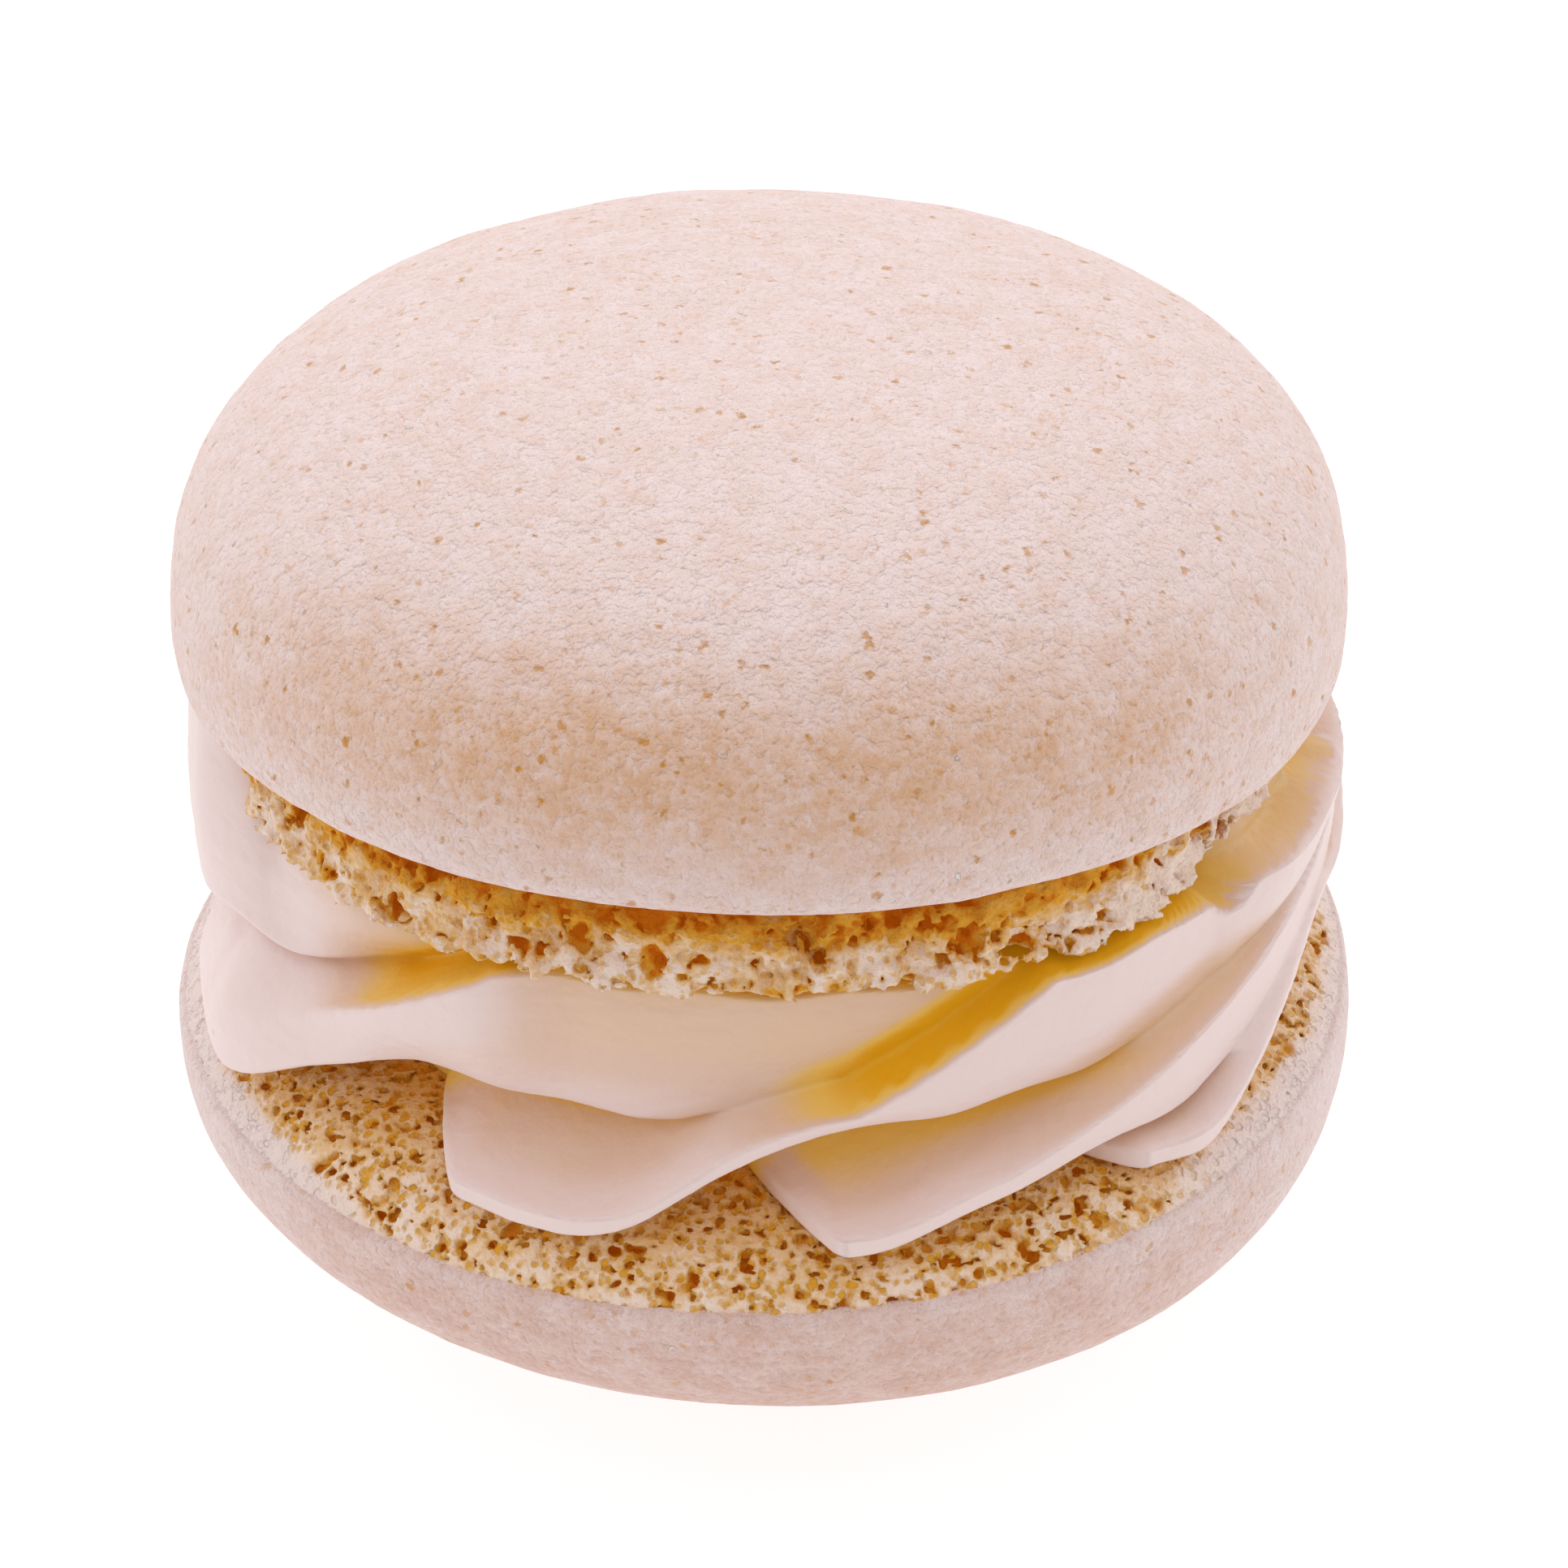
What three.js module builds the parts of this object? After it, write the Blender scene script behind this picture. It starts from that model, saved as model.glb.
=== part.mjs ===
// A French macaron: two almond meringue shells, crust outward, round a piped buttercream swirl.
// The lower shell lies on its crust, the upper one is set on the cream and leans back a little.
// Millimetres, +Z up. The origin is the middle of the small flat spot that the macaron rests on.
// Angles round the macaron are in degrees from its front (-Y), rising towards +X.
import * as THREE from 'three';

// ---- Driving dimensions ----
const UPPER_RADIUS = 22.5;        // widest line of the upper crust
const UPPER_WIDEST_Z = 26.6;      // height of that line
const UPPER_TOP_Z = 38.6;         // top of the dome, before the shell leans
const UPPER_EDGE_RADIUS = 21.8;   // where the crust ends below
const UPPER_EDGE_Z = 25.4;
const UPPER_FULLNESS = 2.7;       // 2 is an ellipse, more is squarer
const LEAN_BACK = 4.5;            // degrees, front edge raised
const LEAN_SIDE = 2.0;            // degrees, left side raised

const LOWER_RADIUS = 23.4;        // widest line of the lower crust
const LOWER_WIDEST_Z = 9.2;
const LOWER_EDGE_RADIUS = 23.2;   // where the crust ends above
const LOWER_EDGE_Z = 10.3;
const LOWER_FULLNESS = 2.5;
const REST_SPOT_RADIUS = 8;       // flat spot worn on the crust by its own weight
const LOWER_FACE_Z = 12.6;        // middle of the porous inner face

const FOOT_RADIUS = 20.7;         // ragged crumb wall under the upper crust
const FOOT_FACE_Z = 21.3;         // its flat face against the cream, before the shell leans
const FOOT_THINS_RIGHT = 1.3;     // how far its face is raised on the right, where the cream presses up
const FOOT_DRAWN_IN_LEFT = 1.6;   // how far its wall is drawn in on the left, beside a fin

const CREAM_FLOOR_Z = 12.95;
const CREAM_CEILING_Z = 20.95;    // before it leans with the upper shell
const CREAM_CORE_RADIUS = 16.6;
const SQUEEZED_RIGHT = 1.3;       // rise of the cream into the foot's thin part
const SQUEEZED_LEFT = 3.0;        // rise of the fin beside the foot

const COLUMNS = 96;               // facets round each shell

// ---- The two shells ----
const radians = THREE.MathUtils.degToRad;
const smooth = THREE.MathUtils.smoothstep;
const { lerp, clamp } = THREE.MathUtils;

// A point at an angle from the front, a radius from the axis and a height.
function at(angle, radius, z) {
  return new THREE.Vector3(radius * Math.sin(radians(angle)), -radius * Math.cos(radians(angle)), z);
}

// Seeded value noise between -1 and 1, smooth at a scale of one unit.
function latticeValue(x, y, z) {
  const wave = Math.sin(x * 127.1 + y * 311.7 + z * 74.7) * 43758.5453;
  return 2 * (wave - Math.floor(wave)) - 1;
}

function noise(point, scale) {
  const [x, y, z] = point.toArray().map((value) => value / scale);
  const [i, j, k] = [x, y, z].map(Math.floor);
  const [u, v, w] = [x - i, y - j, z - k].map((value) => smooth(value, 0, 1));
  const edge = (b, c) => lerp(latticeValue(i, j + b, k + c), latticeValue(i + 1, j + b, k + c), u);
  const side = (c) => lerp(edge(0, c), edge(1, c), v);
  return lerp(side(0), side(1), w);
}

// How far an angle is to one side: 0 to 1 between two angles, and back to 0 over 30 degrees at a far one.
function toSide(angle, inner, outer, far) {
  const turn = ((((angle + 180) % 360) + 360) % 360) - 180;
  return smooth(turn, inner, outer) * (1 - smooth(turn, far, far + 30));
}

// A closed body from rings of points, each ring drawn to a pole at either end.
function closedBody(rings, firstPole, lastPole) {
  const count = rings[0].length;
  const points = [firstPole, ...rings.flat(), lastPole];
  const index = [];
  const last = points.length - 1;
  for (let column = 0; column < count; column += 1) {
    const next = (column + 1) % count;
    index.push(0, 1 + next, 1 + column);
    for (let ring = 0; ring < rings.length - 1; ring += 1) {
      const a = 1 + ring * count + column;
      const b = 1 + ring * count + next;
      index.push(a, b, b + count, a, b + count, a + count);
    }
    index.push(last, last - count + column, last - count + next);
  }
  const geometry = new THREE.BufferGeometry().setFromPoints(points);
  geometry.setIndex(index);
  return geometry;
}

// Rings of a shell from its profile: profile(angle) gives [radius, z, crag depth] from below to above.
function shellRings(profile) {
  const columns = Array.from({ length: COLUMNS }, (_, column) => profile((column * 360) / COLUMNS));
  return columns[0].map((_, row) => columns.map((stations, column) => {
    const [radius, z, crag] = stations[row];
    const angle = (column * 360) / COLUMNS;
    const point = at(angle, radius, z);
    const relief = crag * (noise(point, 2.3) + 0.6 * noise(point, 1.2));
    return at(angle, radius + relief, z + 0.6 * relief);
  }));
}

// Radius and height along a dome between its widest line (0) and its pole (1).
function dome(share, radius, widestZ, poleZ, fullness) {
  const turn = share * Math.PI / 2;
  return [
    radius * Math.cos(turn) ** (2 / fullness),
    widestZ + (poleZ - widestZ) * Math.sin(turn) ** (2 / fullness),
  ];
}

// The lower shell: domed crust below, then the porous face that rises gently to its middle.
function lowerProfile(angle) {
  const round = 1 - 0.015 * Math.cos(radians(3 * angle + 64));
  const radius = LOWER_RADIUS * round;
  const edge = LOWER_EDGE_Z + 0.25 * Math.sin(radians(angle)) + 0.25 * Math.sin(radians(2 * angle - 37));
  const fullness = LOWER_FULLNESS + 0.1 * Math.sin(radians(angle));
  const stations = [[REST_SPOT_RADIUS, 0, 0]];
  for (const share of [0.76, 0.66, 0.56, 0.45, 0.34, 0.22, 0.1, 0]) {
    const [r, z] = dome(share, radius, LOWER_WIDEST_Z, 0, fullness);
    stations.push([r, z, 0]);
  }
  stations.push([LOWER_EDGE_RADIUS * round, edge, 0]);
  for (const [share, rise, crag] of [
    [0.975, 0.3, 0.12], [0.94, 0.55, 0.2], [0.88, 0.76, 0.22], [0.8, 0.88, 0.2], [0.66, 0.95, 0], [0.3, 1, 0],
  ]) {
    stations.push([LOWER_EDGE_RADIUS * round * share, lerp(edge, LOWER_FACE_Z, rise) - crag, crag]);
  }
  return stations;
}

// The upper shell: flat face against the cream, ragged crumb wall, crust edge and dome.
function upperProfile(angle) {
  const round = 1 + 0.009 * Math.cos(radians(2 * angle));
  const radius = UPPER_RADIUS * round;
  const edge = UPPER_EDGE_Z + 0.22 * Math.cos(radians(2 * angle));
  const fullness = UPPER_FULLNESS + 0.1 * Math.sin(radians(angle)) - 0.14 * Math.cos(radians(angle));
  const thinned = FOOT_THINS_RIGHT * toSide(angle, 32, 58, 115);
  const footRadius = (FOOT_RADIUS - FOOT_DRAWN_IN_LEFT * toSide(-angle, 42, 56, 155)) * round;
  const stations = [];
  for (const [share, crag] of [[0.3, 0], [0.7, 0.1], [0.86, 0.25]]) {
    const raised = thinned * smooth(share, 0.7, 0.86);
    stations.push([footRadius * share, FOOT_FACE_Z + raised + crag, crag]);
  }
  for (const [share, rise, crag] of [
    [0.965, 0.03, 0.4], [0.985, 0.2, 0.6], [0.995, 0.42, 0.65], [0.995, 0.64, 0.6], [0.99, 0.86, 0.4],
  ]) {
    stations.push([footRadius * share, lerp(FOOT_FACE_Z + thinned, edge, rise), crag]);
  }
  stations.push([FOOT_RADIUS * round * 1.015, edge - 0.05, 0]);
  stations.push([UPPER_EDGE_RADIUS * round, edge, 0]);
  stations.push([lerp(UPPER_EDGE_RADIUS, UPPER_RADIUS, 0.6) * round, lerp(edge, UPPER_WIDEST_Z, 0.4), 0]);
  for (const share of [0, 0.1, 0.2, 0.31, 0.42, 0.53, 0.64, 0.74, 0.83, 0.91, 0.97]) {
    const [r, z] = dome(share, radius, UPPER_WIDEST_Z, UPPER_TOP_Z, fullness);
    stations.push([r, z, 0]);
  }
  return stations;
}

// Leans a geometry as the upper shell leans on the cream, about the middle of its widest line.
function lean(geometry) {
  geometry.translate(0, 0, -UPPER_WIDEST_Z);
  geometry.rotateY(radians(LEAN_SIDE));
  geometry.rotateX(radians(-LEAN_BACK));
  return geometry.translate(0, 0, UPPER_WIDEST_Z);
}

const lowerShell = closedBody(
  shellRings(lowerProfile), new THREE.Vector3(0, 0, 0), new THREE.Vector3(0, 0, LOWER_FACE_Z),
);
const upperShell = lean(closedBody(
  shellRings(upperProfile), new THREE.Vector3(0, 0, FOOT_FACE_Z), new THREE.Vector3(0, 0, UPPER_TOP_Z),
));

// ---- The cream: a star-nozzle swirl of eight fins, turning as they climb ----
// tip: angle where the fin reaches furthest out over the lower shell; reach: its radius there
// lead: degrees from the fin's corner to its tip; edge: degrees over which its end runs out
// lift: degrees past the tip where the upper lip leaves the tongue; climb: mm of rise a degree
// rise: how far the lower lip rises past the tip; late: degrees past the tip where it rises again
// waist: radius of the lower lip; fade: degrees past the tip where it starts to sink
// crest: radius of the upper lip; torn: degrees past the tip where it is torn; tuck: its radius after that
// body: 0 for a thin tongue with a flat top, 1 for a round lobe; bulge: how far its face bulges
const FIN_MEASURES = ['tip', 'reach', 'lead', 'edge', 'lift', 'climb', 'rise', 'late', 'waist', 'fade',
  'crest', 'torn', 'tuck', 'body', 'bulge'];
const FINS = [
  [-140, 22.6, 10, 14, 8, 0.24, 3.3, 57, 22.2, 65, 21.8, 65, 19.8, 1, 0.35],
  [-66, 23.2, 14, 12, -3, 0.22, 3.8, 56, 19.4, 85, 21.2, 34, 19.8, 1, 0],
  [-20, 22.2, 13, 14, 6, 0.2, 4.3, 72, 20.7, 100, 21.4, 68, 22.5, 0, 0],
  [6, 22.6, 1, 9, 6, 0.115, 1.7, 40, 22.0, 85, 22.3, 80, 22.3, 0, 0],
  [44, 23.0, 7, 8, 12, 0.17, 4.6, 60, 22.2, 80, 22.6, 70, 22.3, 0, 0],
  [110, 22.6, 8, 12, 8, 0.2, 2.0, 55, 21.3, 70, 22.4, 55, 21.3, 0, 0],
  [148, 22.4, 12, 14, 10, 0.18, 2.0, 55, 20.8, 70, 22.2, 55, 21.3, 0, 0],
  [186, 22.4, 10, 12, 8, 0.22, 2.0, 50, 20.8, 60, 22.2, 50, 21.3, 0, 0],
].map((fin) => Object.fromEntries(FIN_MEASURES.map((measure, place) => [measure, fin[place]])));
const FIN_SINKS_OVER = 60;        // degrees over which a fin sinks into the core
const LATE_CLIMB = 0.1;           // mm a degree
const TEAR = 0.8;                 // depth of the notch where a lip is torn
const CREST_DROP = 0.7;           // how far the lips stay below the upper shell at the front and back
const LIP = 0.8;                  // thickness of a fin's thin edge
const TONGUE_Z = 12.3;            // underside of a fin's tip, where it lies over the lower shell
const BELLY_RADIUS = 20.3;        // the cream pressed up into the foot's thin part
const CREAM_COLUMNS = 126;
const CREAM_TWIST = 40;           // degrees that the facets turn from floor to ceiling, along the fins
const CREAM_LEVELS = [0, 0.05, 0.1, 0.15, 0.2, 0.26, 0.32, 0.38, 0.44, 0.5, 0.56, 0.62, 0.68, 0.74, 0.8, 0.86,
  0.92, 0.97, 1];

// The cream's underside, which droops outwards over the sloping rim of the lower shell.
function creamFloor(radius) {
  return lerp(CREAM_FLOOR_Z, TONGUE_Z, smooth(radius, 17, 22.5));
}

// The cream's top where it lies against the upper shell's flat face, which leans.
function levelCeiling(angle, radius) {
  const front = radius * Math.cos(radians(angle));
  const right = radius * Math.sin(radians(angle));
  return CREAM_CEILING_Z + front * Math.tan(radians(LEAN_BACK)) - right * Math.tan(radians(LEAN_SIDE));
}

// The cream's top, squeezed up beside the foot on the left and under its thin part on the right.
function creamCeiling(angle, radius) {
  const right = SQUEEZED_RIGHT * toSide(angle, 38, 62, 110) * smooth(radius, 16, 19);
  const left = SQUEEZED_LEFT * toSide(-angle, 58, 72, 120) * smooth(radius, 20.3, 21.2);
  return levelCeiling(angle, radius) + left + right;
}

// How far a fin stands out at an angle and a height: undercut, face, then the hollow over its upper lip.
function finRadius(fin, angle, z) {
  const core = CREAM_CORE_RADIUS;
  const start = fin.lead + fin.edge;
  const past = ((((angle - fin.tip + start) % 360) + 360) % 360) - start;
  if (past > fin.fade + FIN_SINKS_OVER) {
    return core;
  }
  const corner = lerp(core, fin.reach - 0.5, clamp((past + start) / fin.edge, 0, 1));
  const tongue = lerp(corner, fin.reach, smooth(past, -fin.lead, 0));
  const slim = Math.exp(-((Math.max(past, 0) / 19) ** 2));
  const raised = smooth(past, fin.lift, fin.lift + 28);
  const lowRadius = lerp(lerp(fin.waist, tongue, slim), core, smooth(past, fin.fade, fin.fade + 50));
  const sunk = smooth(past, fin.fade + 25, fin.fade + FIN_SINKS_OVER);
  const crest = lerp(fin.crest, fin.tuck, smooth(past, fin.torn, fin.torn + 12));
  const highRadius = lerp(lerp(lowRadius, crest, raised), core, sunk);
  const drop = CREST_DROP * (1 - toSide(angle, 30, 65, 200) - toSide(-angle, 30, 65, 200));
  const notch = (1 - fin.body) * TEAR * Math.exp(-(((past - fin.torn - 4) / 1.5) ** 2));
  const top = levelCeiling(angle, core) - drop - notch;
  const climbed = fin.rise * smooth(past, -2, 26) + LATE_CLIMB * Math.max(past - fin.late, 0);
  const lowZ = Math.min(TONGUE_Z + climbed, top - LIP);
  const highZ = clamp(TONGUE_Z + LIP + fin.climb * Math.max(past - fin.lift, 0), lowZ + LIP, top);
  if (z < lowZ) {
    return lerp(core, lowRadius, smooth(z, lowZ - 0.7, lowZ));
  }
  if (z < highZ) {
    const upFace = (z - lowZ) / (highZ - lowZ);
    const bulge = fin.bulge * raised * (1 - sunk) * Math.sin(Math.PI * upFace);
    return bulge + lerp(lowRadius, highRadius, 1 - (1 - upFace) ** lerp(1, 2.4, raised));
  }
  const lobe = fin.body * smooth(past, -start, 8 - start);
  const shoulder = clamp((z - highZ) / lerp(lerp(2.4, 6, lobe), 0.9, raised), 0, 1);
  return lerp(highRadius, core, shoulder ** lerp(lerp(0.5, 1.6, lobe), 0.75, raised));
}

// The furthest fin at an angle and a height, eased over its neighbourhood.
function creamRadius(angle, z) {
  const samples = [[0, 0], [1.2, 0.15], [1.2, -0.15], [-1.2, 0.15], [-1.2, -0.15]].map(
    ([turn, rise]) => Math.max(...FINS.map((fin) => finRadius(fin, angle + turn, z + rise))),
  );
  const eased = samples.reduce((sum, radius) => sum + radius) / samples.length;
  return Math.max(eased, lerp(CREAM_CORE_RADIUS, BELLY_RADIUS, toSide(angle, 40, 60, 110) * smooth(z, 20, 21)));
}

// The swirl's ring at a share of its height, drawn in by a share of its radius.
function creamRing(level, inward) {
  return Array.from({ length: CREAM_COLUMNS }, (_, column) => {
    const angle = (column * 360) / CREAM_COLUMNS + CREAM_TWIST * level;
    const nominal = lerp(TONGUE_Z, levelCeiling(angle, CREAM_CORE_RADIUS), level);
    const radius = creamRadius(angle, nominal) * inward;
    return at(angle, radius, lerp(creamFloor(radius), creamCeiling(angle, radius), level));
  });
}

const cream = closedBody(
  [
    creamRing(0, 0.4), creamRing(0, 0.8), ...CREAM_LEVELS.map((level) => creamRing(level, 1)),
    creamRing(1, 0.975), creamRing(1, 0.95), creamRing(1, 0.91), creamRing(1, 0.78), creamRing(1, 0.5),
  ],
  new THREE.Vector3(0, 0, CREAM_FLOOR_Z), new THREE.Vector3(0, 0, CREAM_CEILING_Z),
);

// ---- The macaron ----
function piece(name, geometry, colour, roughness) {
  const material = new THREE.MeshStandardMaterial({ color: colour, roughness, metalness: 0 });
  const mesh = new THREE.Mesh(geometry, material);
  mesh.name = name;
  return mesh;
}

const macaron = new THREE.Group();
macaron.add(
  piece('bottom_shell', lowerShell, 0xd9bdb6, 0.9),
  piece('cream_filling', cream, 0xe3cfcd, 0.5),
  piece('top_shell', upperShell, 0xebd6d4, 0.9),
);

export default macaron;
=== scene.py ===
import math

import bmesh
import bpy
import numpy as np
from mathutils import Matrix, Vector


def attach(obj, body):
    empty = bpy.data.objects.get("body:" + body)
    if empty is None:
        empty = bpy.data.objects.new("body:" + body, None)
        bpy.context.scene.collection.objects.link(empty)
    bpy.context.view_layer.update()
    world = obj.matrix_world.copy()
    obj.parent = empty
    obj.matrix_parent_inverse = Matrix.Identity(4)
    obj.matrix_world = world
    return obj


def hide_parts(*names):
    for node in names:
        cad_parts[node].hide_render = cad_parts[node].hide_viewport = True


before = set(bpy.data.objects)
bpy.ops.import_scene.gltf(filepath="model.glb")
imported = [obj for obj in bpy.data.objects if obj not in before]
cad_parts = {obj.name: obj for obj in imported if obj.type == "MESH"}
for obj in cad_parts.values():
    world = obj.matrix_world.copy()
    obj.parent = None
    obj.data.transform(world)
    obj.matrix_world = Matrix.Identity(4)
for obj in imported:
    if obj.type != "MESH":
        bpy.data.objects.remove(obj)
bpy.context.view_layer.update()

# ---------------------------------------------------------------------------------------------
# The view: a long lens from above the front, leaned slightly to one side.
# Places are in millimetres here and in every section, and MM turns them into metres.
# ---------------------------------------------------------------------------------------------
MM = 0.001
LOOK_AT = (0.758, 0.0, 17.9)
VIEW_DISTANCE = 180.0
VIEW_DOWN = 33.78
VIEW_LEAN = 1.624
LENS_LENGTH = 105.13
SENSOR_WIDTH = 36
NEAR_LIMIT = 10

down = math.radians(VIEW_DOWN)
lean = math.radians(VIEW_LEAN)
forward = Vector((0, math.cos(down), -math.sin(down)))
level_right = Vector((1, 0, 0))
level_up = Vector((0, math.sin(down), math.cos(down)))
right = level_right * math.cos(lean) - level_up * math.sin(lean)
up = level_right * math.sin(lean) + level_up * math.cos(lean)

lens = bpy.data.cameras.new("camera")
lens.lens = LENS_LENGTH
lens.sensor_width = SENSOR_WIDTH
lens.clip_start = NEAR_LIMIT * MM
camera = bpy.data.objects.new("camera", lens)
aim = Matrix((right, up, -forward)).transposed().to_4x4()
aim.translation = (Vector(LOOK_AT) - forward * VIEW_DISTANCE) * MM
camera.matrix_world = aim
bpy.context.scene.collection.objects.link(camera)
bpy.context.scene.camera = camera

# ---------------------------------------------------------------------------------------------
# Lower crust: the dry baked skin of the lower meringue shell, domed downwards, with a sharp rim.
# It is turned from a profile, then wrinkled a little along its rings as drying meringue is.
# ---------------------------------------------------------------------------------------------
LOWER_RADIUS = 23.4
LOWER_WIDEST_Z = 9.2
LOWER_EDGE_RADIUS = 23.2
LOWER_EDGE_Z = 10.3
LOWER_FULLNESS = 2.5
LOWER_OUT_OF_ROUND = 0.015
RIM_WAVE = 0.25
REST_SPOT_RADIUS = 8.0
REST_SPOT_SHARPNESS = 14
CRUST_COLUMNS = 540
CRUST_FACET = 0.27


def feed(tree, value, socket):
    """Gives an input socket a value, or links another socket or field to it."""
    if isinstance(value, Field):
        value = value.socket
    if isinstance(value, bpy.types.NodeSocket):
        tree.links.new(value, socket)
    else:
        socket.default_value = value


def put(tree, kind, inputs=None, **settings):
    """Adds a node to a tree, with its settings and its inputs by name or number."""
    node = tree.nodes.new(kind)
    for key, value in settings.items():
        setattr(node, key, value)
    for key, value in (inputs or {}).items():
        feed(tree, value, node.inputs[key])
    return node


class Field:
    """An output of a node, on which plain arithmetic can be done in its tree."""

    def __init__(self, tree, socket):
        self.tree = tree
        self.socket = socket

    def maths(self, operation, *others):
        numbers = dict(enumerate((self, *others)))
        return Field(self.tree, put(self.tree, "ShaderNodeMath", numbers, operation=operation).outputs[0])

    def vector(self, operation, other, output=0):
        node = put(self.tree, "ShaderNodeVectorMath", {0: self, 1: other}, operation=operation)
        return Field(self.tree, node.outputs[output])

    def __add__(self, other):
        return self.maths("ADD", other)

    def __sub__(self, other):
        return self.maths("SUBTRACT", other)

    def __mul__(self, other):
        return self.maths("MULTIPLY", other)

    def __rsub__(self, other):
        return self * -1.0 + other

    __radd__ = __add__
    __rmul__ = __mul__

    def least(self, other):
        return self.maths("MINIMUM", other)

    def most(self, other):
        return self.maths("MAXIMUM", other)

    def cos(self):
        return self.maths("COSINE")

    def part(self, axis):
        return Field(self.tree, put(self.tree, "ShaderNodeSeparateXYZ", {0: self}).outputs[axis])

    def ease(self, start, end):
        """Eases from 0 to 1 as the field goes from start to end."""
        limits = {"Value": self, "From Min": start, "From Max": end}
        node = put(self.tree, "ShaderNodeMapRange", limits, interpolation_type="SMOOTHSTEP")
        return Field(self.tree, node.outputs[0])

    def off_axis(self):
        """The distance of a place from the macaron's axis."""
        return self.vector("MULTIPLY", (1, 1, 0)).vector("LENGTH", (0, 0, 0), "Value")

    def noise(self, size, depth=1.0, detail=1.0, seed=0.0):
        """Smooth noise of a size in millimetres, between about -depth and depth."""
        settings = {"Vector": self, "W": seed, "Scale": 1 / size, "Detail": detail}
        node = put(self.tree, "ShaderNodeTexNoise", settings, noise_dimensions="4D")
        return (Field(self.tree, node.outputs[0]) - 0.5) * (depth * 2.6)

    def warped(self, size, reach):
        """A place shifted by noise, so that what is laid on it comes out uneven."""
        cloud = put(self.tree, "ShaderNodeTexNoise", {"Vector": self, "Scale": 1 / size})
        shift = Field(self.tree, cloud.outputs["Color"]).vector("SUBTRACT", (0.5, 0.5, 0.5))
        return self.vector("ADD", shift.vector("MULTIPLY", (reach * 2.6,) * 3))

    def streaks(self, length, width, depth=1.0, detail=2.0, seed=0.0):
        """Noise drawn out round the macaron's axis: long along a ring and narrow across it."""
        drawn = self.vector("MULTIPLY", (1, 1, length / width))
        return drawn.noise(length, depth, detail, self.off_axis() * (1 / width) + seed)

    def bubbles(self, spacing, smallest, largest, chance, seed=0.0):
        """Distance in millimetres to the wall of the nearest bubble, negative inside it."""
        shifted = self.vector("ADD", (seed, 2 * seed, 3 * seed))
        cells = put(self.tree, "ShaderNodeTexVoronoi", {"Vector": shifted, "Scale": 1 / spacing})
        draw = Field(self.tree, cells.outputs["Color"]).part(0)
        size = ((draw - (1 - chance)) * (1 / chance)).most(0.0).maths("POWER", 2.0)
        missing = draw.maths("LESS_THAN", 1 - chance) * largest * 2
        radius = size * (largest - smallest) + smallest
        return Field(self.tree, cells.outputs["Distance"]) * spacing - radius + missing


def colour(red, green, blue):
    """A colour from a painter's 0 to 255 values, as the linear values that a shader takes."""
    channels = [value / 255 for value in (red, green, blue)]
    return tuple(c / 12.92 if c < 0.04045 else ((c + 0.055) / 1.055) ** 2.4 for c in channels) + (1,)


def lower_round(angle, cos):
    """How far the lower shell is from round, at an angle from the front."""
    return 1 - LOWER_OUT_OF_ROUND * cos(3 * angle + math.radians(64))


def lower_edge(angle, cos):
    """Height of the lower shell's rim at an angle from the front."""
    quarter = math.pi / 2
    wave = cos(angle - quarter) + cos(2 * angle - (math.radians(37) + quarter))
    return LOWER_EDGE_Z + RIM_WAVE * wave


def mesh_piece(name, points, faces):
    """A smooth mesh object at the origin, from points in millimetres."""
    mesh = bpy.data.meshes.new(name)
    mesh.from_pydata((np.asarray(points, float) * MM).tolist(), [], faces)
    mesh.polygons.foreach_set("use_smooth", [True] * len(mesh.polygons))
    piece = bpy.data.objects.new(name, mesh)
    bpy.context.scene.collection.objects.link(piece)
    return piece


def turned_piece(name, radii, heights, angles):
    """A closed body from radii and heights [row, column], rows from below to above."""
    rows, columns = radii.shape
    rings = np.stack([radii * np.sin(angles), -radii * np.cos(angles), heights], axis=2).reshape(-1, 3)
    points = np.vstack([rings, (0, 0, heights[0].mean()), (0, 0, heights[-1].mean())])
    column = np.arange(columns)
    following = (column + 1) % columns
    first_pole = np.full(columns, rows * columns)
    top = (rows - 1) * columns
    faces = np.stack([following, column, first_pole], axis=1).tolist()
    faces += np.stack([top + column, top + following, first_pole + 1], axis=1).tolist()
    for row in range(rows - 1):
        low, high = row * columns, (row + 1) * columns
        faces += np.stack([low + column, low + following, high + following, high + column], axis=1).tolist()
    return mesh_piece(name, points, faces)


def dome(share, radius, widest_z, pole_z, fullness):
    """Radius and height along a dome between its widest line (0) and its pole (1)."""
    turn = share * math.pi / 2
    height = widest_z + (pole_z - widest_z) * math.sin(turn) ** (2 / fullness)
    return radius * math.cos(turn) ** (2 / fullness), height


def even_rows(rows, spacing, before=(), after=()):
    """Respaces the shown rows of a profile evenly, between hidden rows that stay as they are."""
    radii, heights = (np.array([row[part] for row in rows]) for part in (0, 1))
    steps = np.hypot(np.diff(radii[:, 0]), np.diff(heights[:, 0]))
    along = np.concatenate([[0], np.cumsum(steps)])
    place = np.interp(np.linspace(0, along[-1], int(along[-1] / spacing)), along, np.arange(len(along)))
    low = np.minimum(place.astype(int), len(along) - 2)
    share = (place - low)[:, None]
    grids = [grid[low] * (1 - share) + grid[low + 1] * share for grid in (radii, heights)]
    return [np.array([*(row[part] for row in before), *grids[part], *(row[part] for row in after)])
            for part in (0, 1)]


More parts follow.
